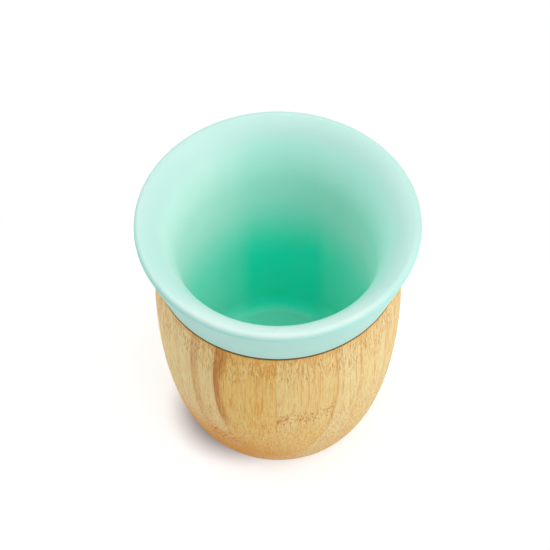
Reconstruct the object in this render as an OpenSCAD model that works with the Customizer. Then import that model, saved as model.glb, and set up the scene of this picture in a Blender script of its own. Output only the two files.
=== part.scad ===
// Open drinking cup for a small child: a turned bamboo shell with a soft
// silicone liner. The liner hangs by its flared mouth on the top edge of the
// shell and lifts straight out for washing. Both pieces are surfaces of
// revolution about Z. The base of the shell lies on z = 0. Millimetres.

/* [Bamboo shell] */
// Outer diameter of the shell at its top edge, which sets the girth of the cup
shell_top_d = 73.4; // [68:0.2:80]
// Height of the shell, from its base to the edge that carries the liner
shell_h = 69.5; // [62:0.5:78]
// Thickness of the shell's wall at its top edge
shell_rim_t = 4.6; // [3.6:0.1:6]
// How far the fullest part stands out past the top edge
belly_bulge = 0.6; // [0:0.1:3]
// Depth of the fullest part below the top edge
belly_drop = 17.5; // [12:0.5:24]
// How far the flat of the base lies inside the top edge
foot_inset = 10.8; // [9:0.2:12]
// Radius of the rounded edge round the base
foot_r = 4; // [2:0.5:6]
// Lean of the wall where it meets the rounded edge, in degrees from upright
foot_lean = 28; // [22:1:32]
// Thickness of the shell's floor
shell_floor_t = 6.6; // [5:0.2:9]

/* [Mouth of the liner] */
// How far the widest edge of the mouth stands out past its lower edge
rim_reach = 5.25; // [3:0.05:8]
// Height of the widest edge of the mouth above the top edge of the shell
mouth_h = 17.2; // [14:0.2:22]
// Radius of the rounded lip
lip_r = 1.5; // [1:0.1:2]
// Slope of the flare where it leaves the lip, in degrees from level
lip_slope = 26; // [15:1:35]
// Height of the flare, from the widest edge of the mouth down to the throat
flare_h = 18.1; // [14:0.1:22]

/* [Well of the liner] */
// Wall thickness of the well
wall_t = 2.2; // [1.4:0.1:3]
// Thickness of the floor of the well
floor_t = 2.2; // [1.4:0.1:3.5]
// Lean of the well's wall, in degrees from upright
well_lean = 3; // [2:0.1:4]
// Inside radius between the wall and the floor of the well
well_round = 5; // [3:0.5:10]

/* [Fits and edges] */
// Gap between the well and the bore of the shell, all round
fit_gap = 0.3; // [0.2:0.05:0.6]
// Gap between the floor of the well and the floor of the bore
floor_gap = 0.4; // [0.2:0.1:1]
// How far the mouth's lower edge stands proud of the shell's top edge
skirt_proud = 0.05; // [0:0.05:0.5]
// Radius of the mouth's lower edge
skirt_edge_r = 0.5; // [0.2:0.05:0.8]
// Radius of the shell's outer top edge
shell_edge_r = 0.7; // [0.3:0.1:1]
// Radius of the eased edge at the mouth of the bore
bore_edge_r = 1; // [0.8:0.1:1.5]
// Width of the seat, from the wall of the bore to the relief outside it
seat_w = 2.4; // [1.8:0.1:2.6]
// Height of the relief under the mouth's lower edge, which leaves a thin shadow line
seat_relief = 0.35; // [0.1:0.05:0.5]
// Radius in the corner under the mouth, where the well begins
seat_corner_r = 0.6; // [0.3:0.1:0.8]

/* [Hidden] */

bamboo_colour = [0.88, 0.73, 0.48];
mint_colour = [0.72, 0.91, 0.86];

$fn = 144;
curve_steps = 28;
edge_steps = 8;
lip_steps = 20;

// Lengths of the handles of each curve, at its start and end, as shares of
// the height that the curve covers
flare_handle_shares = [0.39, 0.39];
lower_handle_shares = [0.25, 0.34];
upper_handle_shares = [0.4, 0.3];

// Lean of the shell's wall at its top edge, in degrees from upright
top_lean = 3;

// Levels
belly_z = shell_h - belly_drop;
rim_z = shell_h + mouth_h;
throat_z = rim_z - flare_h;
liner_bottom_z = shell_floor_t + floor_gap;
well_floor_z = liner_bottom_z + floor_t;

// Radii
shell_top_r = shell_top_d / 2;
skirt_r = shell_top_r + skirt_proud;
rim_r = skirt_r + rim_reach;
bore_top_r = shell_top_r - shell_rim_t;
bore_round = well_round + wall_t + fit_gap;

// Unit vector at an angle in degrees, from the radial axis towards Z
function unit(angle) = [cos(angle), sin(angle)];

// Points of an arc
function arc(centre, radius, from, to, steps) =
    [for (i = [0:steps]) centre + radius * unit(from + (to - from) * i / steps)];

// Points of a smooth curve between start and end, without those two points. It
// leaves along start_dir and arrives along end_dir, and handles are the lengths
// of its two handles.
function curve(start, start_dir, end, end_dir, handles, steps) =
    let (a = start + handles[0] * unit(start_dir), b = end - handles[1] * unit(end_dir))
    [for (i = [1:steps - 1]) let (t = i / steps, s = 1 - t)
        s * s * s * start + 3 * s * s * t * a + 3 * s * t * t * b + t * t * t * end];

// Last points of a list first
function reversed(points) = [for (i = [len(points) - 1:-1:0]) points[i]];

// Radius at height z of the bore's wall, or of a wall that runs along it and
// lies inset inside it
function wall_r(z, inset) = bore_top_r - (shell_h - z) * tan(well_lean) - inset / cos(well_lean);

// Rounding between such a wall and a floor, from the floor up to the wall
function floor_corner(floor_z, radius, inset) =
    let (z = floor_z + radius, x = wall_r(z, inset) - radius / cos(well_lean))
    arc([x, z], radius, -90, -well_lean, edge_steps);

// Rounding between such a wall and the level of the seat, from the wall up
function seat_corner(radius, inset) =
    let (z = shell_h - radius, x = wall_r(z, inset) + radius / cos(well_lean))
    arc([x, z], radius, 180 - well_lean, 90, edge_steps);

// Outside of the shell: the wall starts where the rounded foot ends
foot_c = [shell_top_r - foot_inset, foot_r];
wall_foot = foot_c + foot_r * unit(-foot_lean);
belly = [shell_top_r + belly_bulge, belly_z];
wall_top = [shell_top_r, shell_h - shell_edge_r];
lower_rise = belly_z - wall_foot[1];
upper_rise = wall_top[1] - belly_z;

// Underside of the mouth: the seat ends in a short slope up to the relief
seat_end = [bore_top_r + seat_w, shell_h];
relief_start = seat_end + [seat_relief, seat_relief];

// Outside of the mouth: its lower edge and the lip share one straight tangent
skirt_edge_c = [skirt_r - skirt_edge_r, shell_h + seat_relief + skirt_edge_r];
lip_c = [rim_r - lip_r, rim_z];
skirt_run = lip_c - skirt_edge_c;
skirt_lean = atan(skirt_run[0] / skirt_run[1]) + asin((lip_r - skirt_edge_r) / norm(skirt_run));

// Inside of the mouth: the flare runs from the lip down to the throat
lip_end = lip_c + lip_r * unit(90 + lip_slope);
throat = [wall_r(throat_z, fit_gap + wall_t), throat_z];
flare_rise = lip_end[1] - throat_z;

shell_outline = concat(
    [[0, 0]],
    arc(foot_c, foot_r, -90, -foot_lean, edge_steps),
    curve(wall_foot, 90 - foot_lean, belly, 90, lower_rise * lower_handle_shares, curve_steps),
    [belly],
    curve(belly, 90, wall_top, 90 + top_lean, upper_rise * upper_handle_shares, edge_steps),
    arc(wall_top - [shell_edge_r, 0], shell_edge_r, 0, 90, edge_steps),
    reversed(seat_corner(bore_edge_r, 0)),
    reversed(floor_corner(shell_floor_t, bore_round, 0)),
    [[0, shell_floor_t]]
);

liner_outline = concat(
    [[0, liner_bottom_z]],
    floor_corner(liner_bottom_z, well_round + wall_t, fit_gap),
    seat_corner(seat_corner_r, fit_gap),
    [seat_end, relief_start],
    arc(skirt_edge_c, skirt_edge_r, -90, -skirt_lean, edge_steps),
    arc(lip_c, lip_r, -skirt_lean, 90 + lip_slope, lip_steps),
    curve(lip_end, 180 + lip_slope, throat, 270 - well_lean, flare_rise * flare_handle_shares, curve_steps),
    [throat],
    reversed(floor_corner(well_floor_z, well_round, fit_gap + wall_t)),
    [[0, well_floor_z]]
);

// The turned shell: a rounded foot, a full belly, and a bore for the liner
module bamboo_shell() {
    color(bamboo_colour)
        rotate_extrude()
            polygon(shell_outline);
}

// The moulded liner: a well that hangs in the bore, under a flared mouth
module silicone_liner() {
    color(mint_colour)
        rotate_extrude()
            polygon(liner_outline);
}

bamboo_shell();
silicone_liner();
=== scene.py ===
"""An open drinking cup in a plain studio: a turned shell of laminated bamboo, and
a silicone liner that lifts out of it. Places are in metres, in the model's frame."""

import math

import bmesh
import bpy
from mathutils import Matrix, Vector


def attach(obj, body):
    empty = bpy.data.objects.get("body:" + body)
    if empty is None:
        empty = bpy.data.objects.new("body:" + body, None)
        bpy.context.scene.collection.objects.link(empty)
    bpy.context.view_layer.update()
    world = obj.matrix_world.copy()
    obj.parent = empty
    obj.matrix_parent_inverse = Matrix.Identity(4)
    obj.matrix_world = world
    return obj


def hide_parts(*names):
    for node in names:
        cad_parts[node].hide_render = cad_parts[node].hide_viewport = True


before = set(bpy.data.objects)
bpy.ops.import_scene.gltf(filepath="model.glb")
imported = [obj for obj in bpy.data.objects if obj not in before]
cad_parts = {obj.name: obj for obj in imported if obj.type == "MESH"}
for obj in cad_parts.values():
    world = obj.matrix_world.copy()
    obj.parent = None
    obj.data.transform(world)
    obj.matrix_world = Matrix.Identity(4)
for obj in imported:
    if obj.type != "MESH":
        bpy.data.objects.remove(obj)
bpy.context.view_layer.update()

MM = 0.001

# Camera, solved from the ellipses of the mouth and of the seam
IMAGE_PX = 550
FOCAL_PX = 2091.7
SENSOR = 36.0
CAMERA_DISTANCE = 0.63
CAMERA_ELEVATION = math.radians(53.89)
CAMERA_ROLL = math.radians(-0.45)
CAMERA_TARGET = Vector((-0.00095, 0.0, 0.0608))
CLIP_START = 0.01
CLIP_END = 50.0

# Studio
FLOOR_SIZE = 6.0
SKY_LIGHT = 0.4
LAMP_AIM = Vector((0.0, 0.0, 0.05))
LAMP_SIZE = 0.7
# Name, place and power of each lamp
LAMPS = (
    ("key", Vector((0.5, -0.45, 0.7)), 2.5),
    ("side", Vector((0.68, 0.0, 0.62)), 2.2),
    ("top", Vector((0.05, 0.0, 1.0)), 1.6),
    ("back", Vector((-0.52, 0.35, 0.67)), 2.9),
)

# Floor. It throws light back as a pale one would. For the camera it glows as well, so that it
# shows white with the cup's own shadow, and away from the cup it goes over to plain white.
FLOOR_BOUNCE = 0.81
FLOOR_SHADED = 0.6
FLOOR_GLOW = 0.55
WHITE_START_R = 0.04
WHITE_END_R = 0.12
# A painted shadow on the floor, which deepens the cup's cast shadow at its lower left: its
# middle, where it starts and ends to fade away from there, its depth and its colour
PAINTED_SHADOW_X = -0.0139
PAINTED_SHADOW_Y = -0.008
PAINTED_SHADOW_FULL_R = 0.01
PAINTED_SHADOW_END_R = 0.024
PAINTED_SHADOW_DEPTH = 0.77
PAINTED_SHADOW_COLOUR = (0.1, 0.06, 0.03, 1.0)

# Turned and moulded surfaces
TURNS = 240
WELD = 0.002 * MM
STRAIGHT = math.radians(0.05)
LONG_EDGE = 4 * MM
HOLD = 0.5 * MM
PARTING_HALF_W = 0.14 * MM
PARTING_DEPTH = 0.08 * MM


def linear(red, green, blue):
    """A colour as a screen shows it, from 0 to 255, in the linear values that a shader takes."""

    def channel(value):
        share = value / 255
        return share / 12.92 if share <= 0.04045 else ((share + 0.055) / 1.055) ** 2.4

    return (channel(red), channel(green), channel(blue), 1.0)


def grey(value):
    return (value, value, value, 1.0)


class Value:
    """What a socket gives. Python's operators on it add Math nodes to its finish."""

    def __init__(self, finish, socket):
        self.finish = finish
        self.socket = socket

    def __add__(self, other):
        return self.finish.maths("ADD", self, other)

    def __sub__(self, other):
        return self.finish.maths("SUBTRACT", self, other)

    def __mul__(self, other):
        return self.finish.maths("MULTIPLY", self, other)

    def __truediv__(self, other):
        return self.finish.maths("DIVIDE", self, other)

    def __rsub__(self, other):
        return self.finish.maths("SUBTRACT", other, self)

    def __gt__(self, other):
        return self.finish.maths("GREATER_THAN", self, other)

    def __lt__(self, other):
        return self.finish.maths("LESS_THAN", self, other)

    __radd__ = __add__
    __rmul__ = __mul__

    def floor(self):
        return self.finish.maths("FLOOR", self)

    def size(self):
        return self.finish.maths("ABSOLUTE", self)


class Finish:
    """The nodes of a procedural material, or of the world."""

    def __init__(self, owner):
        self.owner = owner
        owner.use_nodes = True
        self.tree = owner.node_tree
        self.tree.nodes.clear()

    def node(self, kind, settings=None, sockets=None, out=0):
        """Adds a node, with its settings first and then the values or links of its sockets.
        Gives the output that out names, or a list of them."""
        made = self.tree.nodes.new("ShaderNode" + kind)
        for name, value in (settings or {}).items():
            setattr(made, name, value)
        for name, value in (sockets or {}).items():
            if isinstance(value, Value):
                self.tree.links.new(value.socket, made.inputs[name])
            else:
                made.inputs[name].default_value = value
        if isinstance(out, tuple):
            return [Value(self, made.outputs[one]) for one in out]
        return Value(self, made.outputs[out]) if made.outputs else None

    def maths(self, operation, *values):
        return self.node("Math", {"operation": operation}, dict(enumerate(values)))

    def blend(self, share, first, second):
        """A number that goes from first to second as share goes from 0 to 1."""
        return first + (second - first) * share

    def mix(self, share, first, second):
        """A colour that goes from first to second as share goes from 0 to 1."""
        return self.node("Mix", {"data_type": "RGBA"}, {0: share, 6: first, 7: second}, out=2)

    def coats(self, colour, *coats):
        """Lays coats over a colour in turn. Each is a share and the colour that covers it."""
        for share, coat in coats:
            colour = self.mix(share, colour, coat)
        return colour

    def rise(self, value, start, end, low=0.0, high=1.0):
        """Goes smoothly from low, where value is start, to high, where it is end."""
        return self.node(
            "MapRange",
            {"interpolation_type": "SMOOTHSTEP"},
            {"Value": value, "From Min": start, "From Max": end, "To Min": low, "To Max": high},
        )

    def distance(self, x, y):
        return self.maths("POWER", x * x + y * y, 0.5)

    def vector(self, x, y, z):
        return self.node("CombineXYZ", sockets={"X": x, "Y": y, "Z": z})

    def parts(self, vector):
        return self.node("SeparateXYZ", sockets={"Vector": vector}, out=(0, 1, 2))

    def place(self, turn=0.0):
        """The place on a piece in millimetres, along axes that are turned round Z."""
        place = self.node("TexCoord", out="Object")
        sockets = {"Vector": place, "Rotation": (0, 0, turn), "Scale": (1 / MM,) * 3}
        return self.parts(self.node("Mapping", sockets=sockets))

    def noise(self, place, size, detail=2.0):
        """A soft pattern over a place, with features of a size along each of its axes."""
        vector = self.vector(*(value / length for value, length in zip(place, size)))
        return self.node("TexNoise", sockets={"Vector": vector, "Scale": 1.0, "Detail": detail})

    def surface(self, **sockets):
        """Ends the material in a Principled surface. A socket's name has _ for its spaces."""
        named = {name.replace("_", " "): value for name, value in sockets.items()}
        shader = self.node("BsdfPrincipled", sockets=named)
        self.node("OutputMaterial", sockets={"Surface": shader})
        return self.owner


# Laminated bamboo. Lengths are in millimetres, in the block's own axes: layers
# follow each other along Y, strips lie side by side along X, fibres run along Z.
BLOCK_TURN = math.radians(1.75)
LAYER_T = 5.0
FIRST_GLUE_Y = -32.4
STRIP_W = 20.0
FIRST_SEAM_X = 0.3
SEAM_STEP = 7.3
# The third number that each strip's lots are drawn from, after its layer and its own number
LOT_SEED = 3.0
# How far the patterns of two strips lie apart at most, along X, Y and Z
STRIP_SHIFT = (41.0, 37.0, 59.0)
# The fringe's pattern moves on by this much from layer to layer and from strip to strip
LAYER_STEP = 5.0
STRIP_STEP = 3.0

# Size of the features in each pattern: across the fibres, both ways, and along them
WANDER_SIZE = (8.0, 8.0, 22.0)
BROAD_SIZE = (2.6, 2.6, 60.0)
STREAK_SIZE = (0.4, 0.4, 15.0)
FINE_SIZE = (0.2, 0.2, 1.3)
BUNDLE_SIZE = (0.3, 0.3, 2.8)
CUT_BUNDLE_SIZE = (0.36, 0.36, 0.8)
CLOT_SIZE = (0.6, 0.6, 1.4)
STRAND_SIZE = (0.3, 0.3, 9.0)
FRINGE_SIZE = (0.34, 1.0, 50.0)

# How far the wandering of the fibres moves them sideways, moves what depends on height,
# and moves a node, and how far the streaks fray a node and a skin side
FIBRE_WANDER = 1.4
HEIGHT_WANDER = 14.0
NODE_WANDER = 8.0
NODE_FRAY = 9.0
SKIN_FRAY = 1.8

# Heights of the nodes of two strips, a height out of reach for the nodes of the others, and
# half the height of a node
FRONT_NODE_Z = 38.0
LEFT_NODE_Z = 19.0
NO_NODE_Z = 150.0
NODE_HALF_H = 3.8

# Heights and places where a mark starts and where it is full. Two more numbers are the
# shares there, which are 0 and 1 where they aren't given.
UPPER_Z = (20.0, 38.0)
CALM_Z = (*UPPER_Z, 0.3, 1.0)
STROKE_Z = (53.0, 60.0, 0.3, 1.0)
DOT_Z = (40.0, 28.0)
SKIN_Z = (24.0, 34.0)
SKIN_WIDENS_Z = (50.0, 60.0, 0.0, 0.5)
FOOT_Z = (29.0, 9.0)
FOOT_X = (12.0, -14.0, 0.15, 0.85)
FOOT_Y = (5.0, -15.0, 0.4, 1.0)
# Amber just under the skirt: partly the bamboo's own colour, partly painted shade of the skirt
TOP_AMBER_AND_SHADE_Z = (66.0, 69.0, 0.0, 0.3)
# Painted shadow: the shell's outer top edge, under the skirt, is coloured dark for the shade of
# the gap between liner and shell
PAINTED_GAP_SHADOW_Z = (69.0, 69.3, 0.0, 0.85)
PAINTED_GAP_SHADOW_INNER_R = 35.6
# The same for distances from a glue line
SKIN_T = (1.5, 0.5)
LEFT_SKIN_T = (2.0, 1.4)
OTHER_SKIN_T = (1.2, 0.5, 0.0, 0.3)
FRINGE_T = (2.8, 0.6)
GLUE_GAP = (0.2, 0.04)
HALO_GAP = (0.6, 0.1)
# The same for the values of a pattern
STROKE_BUNDLE = (0.48, 0.66)
STROKE_BROAD = (0.25, 0.5, 0.4, 1.0)
DOT_BUNDLE = (0.54, 0.66)
SPECK_CLOT = (0.51, 0.62)
GLINT_CLOT = (0.42, 0.34, 0.0, 0.6)
SKIN_STRAND = (0.3, 0.6, 0.35, 1.0)
LEFT_SKIN_STRAND = (0.35, 0.6, 0.3, 1.0)
FRINGE_STRAND = (0.52, 0.66)
GLUE_STREAK = (0.4, 0.6, 0.1, 0.4)
AMBER_STREAK = (0.52, 0.66)
PALE_STREAK = (0.44, 0.3, 0.0, 0.4)
AMBER_BROAD = (0.4, 0.75, 0.0, 0.16)
AMBER_FINE = (0.45, 0.7, 0.0, 0.25)
# The same for how far the surface faces up or down
END_GRAIN_SLOPE = (0.2, 0.85, 0.0, 0.6)
# Strips with a higher lot than this show their skin side
SKIN_LOT = 0.6

# Share of the pale colour in a strip: the least one and how much its lot adds, and in the
# strips at the front
LOW_TONE = 0.62
TONE_SPAN = 0.33
FRONT_FOOT_TONE = 0.3
FRONT_LEFT_TONE = 0.08
FRONT_RIGHT_TONE = 0.5

# How strongly the marks show. Deeper is past the second glue line.
STREAK_SHARE = 0.55
FRONT_LEFT_STREAK_SHARE = 0.85
FRINGE_SHARE = 0.5
DEEPER_FRINGE_SHARE = 0.25
HALO_SHARE = 0.3
DEEPER_HALO_SHARE = 0.06
DEEPER_GLUE_SHARE = 0.4
STROKE_SHARE = 0.6
DOT_SHARE = 0.45
NODE_SHARE = 0.15
FRONT_SPECK_SHARE = 0.6
SKIN_SHARE = 0.85
WEAK_SKIN_SHARE = 0.4

PALE = linear(255, 238, 180)
HONEY = linear(253, 213, 120)
AMBER = linear(236, 166, 60)
FOOT_AMBER = linear(228, 146, 4)
FIBRE_BROWN = linear(200, 108, 14)
SKIN_BROWN = linear(194, 110, 26)
GLUE_BROWN = linear(176, 96, 14)
# Colour of the painted shadow of the gap under the skirt
PAINTED_GAP_SHADOW_BROWN = linear(92, 68, 22)

# Surface: how much each mark stands out or sinks in, and how rough it is
RELIEF_H = 0.04 * MM
RELIEF_STRENGTH = 0.5
STREAK_RELIEF = 0.5
FINE_RELIEF = 0.3
STROKE_RELIEF = 0.15
GLUE_RELIEF = 0.3
BAMBOO_ROUGHNESS = 0.54
STREAK_ROUGHNESS = 0.14
STROKE_ROUGHNESS = 0.06
BAMBOO_SPECULAR = 0.35


class Strip:
    """The strip that a point lies in: the three lots that are drawn for it, 1 or 0 for whether
    it is one of those that the front shows, and how far the point lies into it and from the
    nearest glue line and seam."""

    def __init__(self, f, x, y):
        depth = (y - FIRST_GLUE_Y) / LAYER_T
        layer = depth.floor()
        across = (x - FIRST_SEAM_X - (layer + 1) * SEAM_STEP) / STRIP_W
        number = across.floor()
        beside = (across - number) * STRIP_W
        self.into = (depth - layer) * LAYER_T
        self.step = layer * LAYER_STEP + number * STRIP_STEP
        seed = f.vector(layer, number, LOT_SEED)
        self.lots = f.parts(f.node("TexWhiteNoise", sockets={"Vector": seed}, out="Color"))
        left = x < FIRST_SEAM_X
        self.front = depth < 0.0
        self.deeper = depth > 1.0
        self.front_left = self.front * left
        self.front_right = self.front - self.front_left
        self.second_left = (1 - self.front - self.deeper) * left
        # The front of the block has no glue line
        self.glue_gap = f.maths("MINIMUM", self.into + self.front * LAYER_T, LAYER_T - self.into)
        self.seam_gap = f.maths("MINIMUM", beside, STRIP_W - beside)


class Grain:
    """The fibres, which wander a little and differ from strip to strip."""

    def __init__(self, f, strip, x, y, z):
        self.wander = f.noise((x, y, z), WANDER_SIZE) - 0.5
        along = (x + self.wander * FIBRE_WANDER, y, z)
        self.place = [a + lot * shift for a, lot, shift in zip(along, strip.lots, STRIP_SHIFT)]
        self.broad = f.noise(self.place, BROAD_SIZE)
        self.streak = f.noise(self.place, STREAK_SIZE, detail=3)
        self.fine = f.noise(self.place, FINE_SIZE, detail=1)
        self.fray = self.streak - 0.5
        self.height = z + self.wander * HEIGHT_WANDER
        self.calm = f.rise(self.height, *CALM_Z)


def strip_tone(f, strip, grain):
    """How pale a strip is. The two at the front differ, except low on the wall."""
    own = LOW_TONE + strip.lots[0] * TONE_SPAN
    front = f.blend(strip.front_right, FRONT_LEFT_TONE, FRONT_RIGHT_TONE)
    front = f.blend(f.rise(grain.height, *UPPER_Z), FRONT_FOOT_TONE, front)
    return f.blend(strip.front, own, front)


def bundle_marks(f, grain):
    """Bundles of fibres at the surface: strokes high on the wall, where they slant, and dots
    low on it, where the wall cuts across them."""
    bundles = f.noise(grain.place, BUNDLE_SIZE, detail=1)
    stroke_share = f.rise(grain.height, *STROKE_Z) * f.rise(grain.broad, *STROKE_BROAD)
    cut_bundles = f.noise(grain.place, CUT_BUNDLE_SIZE, detail=1)
    dots = f.rise(cut_bundles, *DOT_BUNDLE) * f.rise(grain.height, *DOT_Z)
    return f.rise(bundles, *STROKE_BUNDLE) * stroke_share, dots


def node_marks(f, strip, grain, z):
    """The nodes of two strips: a ragged band with dark specks and pale glints."""
    node_z = f.blend(strip.front_right, NO_NODE_Z, FRONT_NODE_Z)
    node_z = f.blend(strip.second_left, node_z, LEFT_NODE_Z)
    ragged_z = z + grain.wander * NODE_WANDER + grain.fray * NODE_FRAY
    band = f.rise((ragged_z - node_z).size(), NODE_HALF_H, NODE_HALF_H / 2)
    clots = f.noise(grain.place, CLOT_SIZE, detail=1)
    specks = f.rise(clots, *SPECK_CLOT) * f.blend(strip.second_left, FRONT_SPECK_SHARE, 1.0)
    return band, specks * band, f.rise(clots, *GLINT_CLOT) * band


def skin_marks(f, strip, grain, z):
    """The dense skin side of a strip, which lies before its back glue line and has a ragged
    edge: strong in the strip at the front left, and weak in others."""
    strands = f.noise(grain.place, STRAND_SIZE)
    before = LAYER_T - strip.into + grain.fray * SKIN_FRAY
    skin = f.rise(before - f.rise(z, *SKIN_WIDENS_Z), *SKIN_T) * strip.front_left
    skin = skin * f.rise(grain.height, *SKIN_Z) * f.rise(strands, *SKIN_STRAND)
    weak = f.rise(before, *LEFT_SKIN_T) * strip.second_left * f.rise(strands, *LEFT_SKIN_STRAND)
    other = f.rise(before, *OTHER_SKIN_T) * (strip.lots[1] > SKIN_LOT) * (1 - strip.front)
    return skin, weak + other


def fringe_marks(f, strip, grain):
    """Strands behind a glue line, and a halo round it."""
    strands = f.noise((strip.into, strip.step, grain.place[2]), FRINGE_SIZE)
    fringe = f.rise(strands, *FRINGE_STRAND) * f.rise(strip.into, *FRINGE_T)
    fringe = fringe * (1 - strip.second_left) * grain.calm
    halo = f.rise(strip.glue_gap, *HALO_GAP) * grain.calm
    fringe_share = f.blend(strip.deeper, FRINGE_SHARE, DEEPER_FRINGE_SHARE)
    halo_share = f.blend(strip.deeper, HALO_SHARE, DEEPER_HALO_SHARE)
    return fringe * fringe_share, halo * halo_share


def glue_marks(f, strip, grain):
    """The glue lines between layers, and the seams between strips."""
    share = f.rise(grain.streak, *GLUE_STREAK) * grain.calm
    share = share * f.blend(strip.deeper, 1.0, DEEPER_GLUE_SHARE)
    return [f.rise(gap, *GLUE_GAP) * share for gap in (strip.glue_gap, strip.seam_gap)]


def bamboo_finish():
    f = Finish(bpy.data.materials.new("laminated_bamboo"))
    x, y, z = f.place(BLOCK_TURN)
    strip = Strip(f, x, y)
    grain = Grain(f, strip, x, y, z)
    strokes, dots = bundle_marks(f, grain)
    node_band, specks, glints = node_marks(f, strip, grain, z)
    skin, weak_skin = skin_marks(f, strip, grain, z)
    fringe, halo = fringe_marks(f, strip, grain)
    glue, seam = glue_marks(f, strip, grain)

    # End grain, where the wall faces up or down at the foot and the top, takes up more oil
    facing = f.node("TexCoord", out="Normal")
    end_grain = f.rise(f.parts(facing)[2].size(), *END_GRAIN_SLOPE)
    # Amber low on the wall, most at the front left
    foot = f.rise(z, *FOOT_Z) * f.rise(x, *FOOT_X) * f.rise(y, *FOOT_Y)
    # Painted shadow of the gap under the skirt, on the shell's outer top edge
    edge = f.rise(z, *PAINTED_GAP_SHADOW_Z) * (f.distance(x, y) > PAINTED_GAP_SHADOW_INNER_R)

    streak_share = f.blend(strip.front_left, STREAK_SHARE, FRONT_LEFT_STREAK_SHARE)
    colour = f.coats(
        f.mix(strip_tone(f, strip, grain), HONEY, PALE),
        (f.rise(grain.broad, *AMBER_BROAD), AMBER),
        (f.rise(grain.streak, *AMBER_STREAK) * streak_share, AMBER),
        (f.rise(grain.streak, *PALE_STREAK), PALE),
        (f.rise(grain.fine, *AMBER_FINE), AMBER),
        (fringe, AMBER),
        (halo, AMBER),
        (strokes * STROKE_SHARE, FIBRE_BROWN),
        (dots * DOT_SHARE, FIBRE_BROWN),
        (node_band * NODE_SHARE, AMBER),
        (weak_skin * grain.calm * WEAK_SKIN_SHARE, SKIN_BROWN),
        (skin * SKIN_SHARE, SKIN_BROWN),
        (specks, FIBRE_BROWN),
        (glints, PALE),
        (end_grain, AMBER),
        (foot, FOOT_AMBER),
        # Partly painted shade under the skirt
        (f.rise(z, *TOP_AMBER_AND_SHADE_Z), AMBER),
        (f.maths("MAXIMUM", glue, seam), GLUE_BROWN),
        (edge, PAINTED_GAP_SHADOW_BROWN),
    )
    relief = grain.streak * STREAK_RELIEF + grain.fine * FINE_RELIEF
    relief = relief - strokes * STROKE_RELIEF - (glue + seam) * GLUE_RELIEF
    bump = {"Strength": RELIEF_STRENGTH, "Distance": RELIEF_H, "Height": relief}
    roughness = BAMBOO_ROUGHNESS + grain.streak * STREAK_ROUGHNESS + strokes * STROKE_ROUGHNESS
    return f.surface(
        Base_Color=colour,
        Roughness=roughness,
        Specular_IOR_Level=BAMBOO_SPECULAR,
        Normal=f.node("Bump", sockets=bump),
    )


# Silicone. Lengths are in millimetres. Down the well its colour deepens as painted shade, more in
# the middle of the front and back than at the sides, which are paler as painted light.
SHADED_DEEP_MINT = linear(0, 242, 210)
SHADED_DEEP_SIDE_MINT = linear(155, 247, 227)
OPEN_MINT = linear(188, 243, 229)
LIT_OPEN_SIDE_MINT = linear(209, 245, 234)
LIT_WELL_FLOOR_MINT = linear(128, 236, 212)
LIP_MINT = linear(196, 234, 225)
# Painted highlight on the front of the lip
HIGHLIT_FRONT_LIP_MINT = linear(216, 240, 233)
SKIRT_MINT = linear(187, 247, 238)
# Painted shade on the left of the skirt
SHADED_LEFT_SKIRT_MINT = linear(166, 238, 225)
CLOUD_MINT = linear(150, 228, 214)

# Size of the features in its two patterns
CLOUD_SIZE = (14.0, 14.0, 14.0)
GRAIN_SIZE = (0.35, 0.35, 0.35)

# Where a colour starts and where it is full, with two more numbers as for the bamboo
OPEN_Z = (34.0, 64.0)
# Painted light at the sides of the well: where its middle lies along X, and how the sides' share
# rises off it
MIDDLE_X = 2.0
NEAR_SIDE = (9.0, 15.0, 0.0, 0.45)
FAR_SIDE = (12.0, 25.0, 0.0, 0.55)
# Less painted light on the sides at the upper right
UPPER_RIGHT_X = (6.0, 24.0, 0.0, 0.8)
UPPER_RIGHT_Z = (54.0, 68.0)
# Painted light on the floor of the well, from this level down
WELL_FLOOR_Z = (9.8, 9.25)
LIP_Z = (81.0, 86.6)
FRONT_LIP_Y = (-22.0, -38.0)
LEFT_SKIRT_X = (-18.0, -34.0)
CLOUD = (0.3, 0.7, 0.0, 0.12)
# Outside of the well: what lies beyond this radius, which grows with height, or below this level
WELL_MID_R = 27.05
WELL_RISE = 0.0524
WELL_BOTTOM_Z = 8.1
# Outside of the mouth: what lies beyond this radius, which grows with height above the shell,
# from this level up to the lip
SHELL_H = 69.5
SKIRT_R = (35.7, 36.3)
SKIRT_RISE = 0.27
SKIRT_START_Z = 69.0
SKIRT_TOP_Z = (88.0, 87.2)

SILICONE_ROUGHNESS = 0.36
CLOUD_ROUGHNESS = 0.08
GRAIN_H = 0.02 * MM
GRAIN_STRENGTH = 0.25


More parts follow.
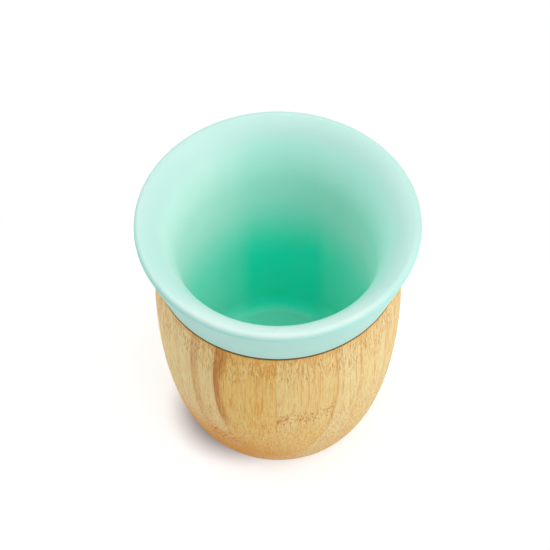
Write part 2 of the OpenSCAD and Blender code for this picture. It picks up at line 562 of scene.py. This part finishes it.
def silicone_finish():
    f = Finish(bpy.data.materials.new("mint_silicone"))
    x, y, z = f.place()
    cloud = f.noise((x, y, z), CLOUD_SIZE, detail=3)
    grain = f.noise((x, y, z), GRAIN_SIZE)

    # Painted shade down the well, and painted light at its sides
    open_share = f.rise(z, *OPEN_Z)
    shaded_middle = f.mix(open_share, SHADED_DEEP_MINT, OPEN_MINT)
    lit_sides = f.mix(open_share, SHADED_DEEP_SIDE_MINT, LIT_OPEN_SIDE_MINT)
    aside = (x - MIDDLE_X).size()
    lit_side_share = f.rise(aside, *NEAR_SIDE) + f.rise(aside, *FAR_SIDE)
    lit_side_share = lit_side_share * (1 - f.rise(x, *UPPER_RIGHT_X) * f.rise(z, *UPPER_RIGHT_Z))

    radius = f.distance(x, y)
    well_wall = (radius - z * WELL_RISE > WELL_MID_R) * (z < SKIRT_START_Z)
    well_outside = f.maths("MAXIMUM", well_wall, z < WELL_BOTTOM_Z)
    skirt = f.rise(radius - (z - SHELL_H) * SKIRT_RISE, *SKIRT_R)
    skirt = skirt * (z > SKIRT_START_Z) * f.rise(z, *SKIRT_TOP_Z)

    colour = f.coats(
        f.mix(lit_side_share, shaded_middle, lit_sides),
        # Painted light on the floor of the well
        (f.rise(z, *WELL_FLOOR_Z), LIT_WELL_FLOOR_MINT),
        (well_outside, LIP_MINT),
        # Painted highlight: the lip is paler at the front
        (f.rise(z, *LIP_Z), f.mix(f.rise(y, *FRONT_LIP_Y), LIP_MINT, HIGHLIT_FRONT_LIP_MINT)),
        # Painted shade: the skirt is darker on its left
        (skirt, f.mix(f.rise(x, *LEFT_SKIRT_X), SKIRT_MINT, SHADED_LEFT_SKIRT_MINT)),
        (f.rise(cloud, *CLOUD), CLOUD_MINT),
    )
    bump = {"Strength": GRAIN_STRENGTH, "Distance": GRAIN_H, "Height": grain}
    return f.surface(
        Base_Color=colour,
        Roughness=SILICONE_ROUGHNESS + cloud * CLOUD_ROUGHNESS,
        Normal=f.node("Bump", sockets=bump),
    )


def outline_of(node):
    """The outline of a turned node, on the half-plane where y is 0 and x isn't negative."""
    bm = bmesh.new()
    bm.from_mesh(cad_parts[node].data)
    bmesh.ops.remove_doubles(bm, verts=bm.verts, dist=WELD)
    whole = {"dist": WELD, "plane_co": (0, 0, 0)}
    everything = bm.verts[:] + bm.edges[:] + bm.faces[:]
    bmesh.ops.bisect_plane(bm, geom=everything, plane_no=(-1, 0, 0), clear_outer=True, **whole)
    everything = bm.verts[:] + bm.edges[:] + bm.faces[:]
    bmesh.ops.bisect_plane(bm, geom=everything, plane_no=(0, 1, 0), **whole)
    aside = [v for v in bm.verts if abs(v.co.y) > WELD]
    bmesh.ops.delete(bm, geom=aside, context="VERTS")
    straight = [v for v in bm.verts if len(v.link_edges) == 2 and v.calc_edge_angle(0) < STRAIGHT]
    bmesh.ops.dissolve_verts(bm, verts=straight)
    return bm


def split_near(edge, vert, distance):
    """Puts a point on an edge at a distance from one of its ends."""
    return bmesh.utils.edge_split(edge, vert, distance / edge.calc_length())


def hold_straights(bm):
    """Puts a point near both ends of each long edge, so that the roundings beside it keep
    their shading."""
    for edge in [e for e in bm.edges if e.calc_length() > LONG_EDGE]:
        rest, _ = split_near(edge, edge.verts[0], HOLD)
        for part in (edge, rest):
            if part.calc_length() > LONG_EDGE / 2:
                far = max(part.verts, key=lambda v: len(v.link_edges) == 2)
                split_near(part, far, HOLD)


def part_mould(bm):
    """Sinks the fine line at the mouth's widest edge, where the two halves of the mould met."""
    edge_point = max(bm.verts, key=lambda v: v.co.x)
    for edge in list(edge_point.link_edges):
        split_near(edge, edge_point, PARTING_HALF_W)
    edge_point.co.x -= PARTING_DEPTH


def turned(name, bm, material):
    """Spins an outline round Z into a closed, smooth piece."""
    bmesh.ops.spin(
        bm,
        geom=bm.verts[:] + bm.edges[:],
        cent=(0, 0, 0),
        axis=(0, 0, 1),
        angle=math.tau,
        steps=TURNS,
        use_merge=True,
    )
    bmesh.ops.remove_doubles(bm, verts=bm.verts, dist=WELD)
    bmesh.ops.recalc_face_normals(bm, faces=bm.faces)
    for face in bm.faces:
        face.smooth = True
    mesh = bpy.data.meshes.new(name)
    bm.to_mesh(mesh)
    bm.free()
    mesh.materials.append(material)
    piece = bpy.data.objects.new(name, mesh)
    bpy.context.scene.collection.objects.link(piece)
    return piece


def make_shell():
    bm = outline_of("bamboo_shell")
    hold_straights(bm)
    piece = turned("turned_shell", bm, bamboo_finish())
    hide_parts("bamboo_shell")
    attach(piece, "shell")


def make_liner():
    bm = outline_of("silicone_liner")
    part_mould(bm)
    hold_straights(bm)
    piece = turned("moulded_liner", bm, silicone_finish())
    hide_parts("silicone_liner")
    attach(piece, "liner")


def make_camera():
    elevation = CAMERA_ELEVATION
    right = Vector((1, 0, 0))
    up = Vector((0, math.sin(elevation), math.cos(elevation)))
    back = Vector((0, -math.cos(elevation), math.sin(elevation)))
    camera_x = right * math.cos(CAMERA_ROLL) + up * math.sin(CAMERA_ROLL)
    camera_y = up * math.cos(CAMERA_ROLL) - right * math.sin(CAMERA_ROLL)
    data = bpy.data.cameras.new("camera")
    data.sensor_width = SENSOR
    data.lens = FOCAL_PX * SENSOR / IMAGE_PX
    data.clip_start = CLIP_START
    data.clip_end = CLIP_END
    camera = bpy.data.objects.new("camera", data)
    turn = Matrix((camera_x, camera_y, back)).transposed()
    place = CAMERA_TARGET + back * CAMERA_DISTANCE
    camera.matrix_world = Matrix.Translation(place) @ turn.to_4x4()
    bpy.context.scene.collection.objects.link(camera)
    bpy.context.scene.camera = camera


def seen_share(finish):
    """1 for what the camera sees, straight or in a reflection or glass, and 0 for the rest."""
    camera, glossy, clear = finish.node(
        "LightPath", out=("Is Camera Ray", "Is Glossy Ray", "Is Transmission Ray")
    )
    return finish.maths("MINIMUM", camera + glossy + clear, 1.0)


def floor_finish():
    f = Finish(bpy.data.materials.new("pale_floor"))
    x, y, _ = f.parts(f.node("TexCoord", out="Object"))
    painted_shadow_r = f.distance(x - PAINTED_SHADOW_X, y - PAINTED_SHADOW_Y)
    painted_shadow_share = f.rise(painted_shadow_r, PAINTED_SHADOW_END_R, PAINTED_SHADOW_FULL_R, 0.0, PAINTED_SHADOW_DEPTH)
    far = f.rise(f.distance(x, y), WHITE_START_R, WHITE_END_R)
    plain = f.node("BsdfDiffuse", sockets={"Color": grey(FLOOR_BOUNCE)})
    shaded = f.node("BsdfDiffuse", sockets={"Color": grey(FLOOR_SHADED)})
    glow = f.node("Emission", sockets={"Strength": FLOOR_GLOW})
    lit = f.node("AddShader", sockets={0: shaded, 1: glow})
    # Painted shadow: a dark floor mixed in round the cup's lower left
    painted_shadow = f.node("BsdfDiffuse", sockets={"Color": PAINTED_SHADOW_COLOUR})
    white = f.node("Emission", sockets={"Strength": 1.0})
    near = f.node("MixShader", sockets={"Fac": painted_shadow_share, 1: lit, 2: painted_shadow})
    seen = f.node("MixShader", sockets={"Fac": far, 1: near, 2: white})
    shader = f.node("MixShader", sockets={"Fac": seen_share(f), 1: plain, 2: seen})
    f.node("OutputMaterial", sockets={"Surface": shader})
    return f.owner


def make_floor():
    bm = bmesh.new()
    bmesh.ops.create_grid(bm, x_segments=1, y_segments=1, size=FLOOR_SIZE / 2)
    mesh = bpy.data.meshes.new("floor")
    bm.to_mesh(mesh)
    bm.free()
    mesh.materials.append(floor_finish())
    floor = bpy.data.objects.new("floor", mesh)
    bpy.context.scene.collection.objects.link(floor)


def make_light():
    world = bpy.data.worlds.new("studio")
    bpy.context.scene.world = world
    f = Finish(world)
    sky = f.node("Background", sockets={"Color": grey(1.0), "Strength": SKY_LIGHT})
    backdrop = f.node("Background", sockets={"Color": grey(1.0)})
    seen = f.node("LightPath", out="Is Camera Ray")
    shader = f.node("MixShader", sockets={"Fac": seen, 1: sky, 2: backdrop})
    f.node("OutputWorld", sockets={"Surface": shader})

    for name, place, power in LAMPS:
        lamp = bpy.data.lights.new(name, "AREA")
        lamp.shape = "SQUARE"
        lamp.size = LAMP_SIZE
        lamp.energy = power
        softbox = bpy.data.objects.new(name, lamp)
        turn = (LAMP_AIM - place).to_track_quat("-Z", "Y")
        softbox.matrix_world = Matrix.Translation(place) @ turn.to_matrix().to_4x4()
        bpy.context.scene.collection.objects.link(softbox)


make_camera()
make_light()
make_floor()
make_shell()
make_liner()

bpy.context.scene.view_settings.view_transform = "Standard"
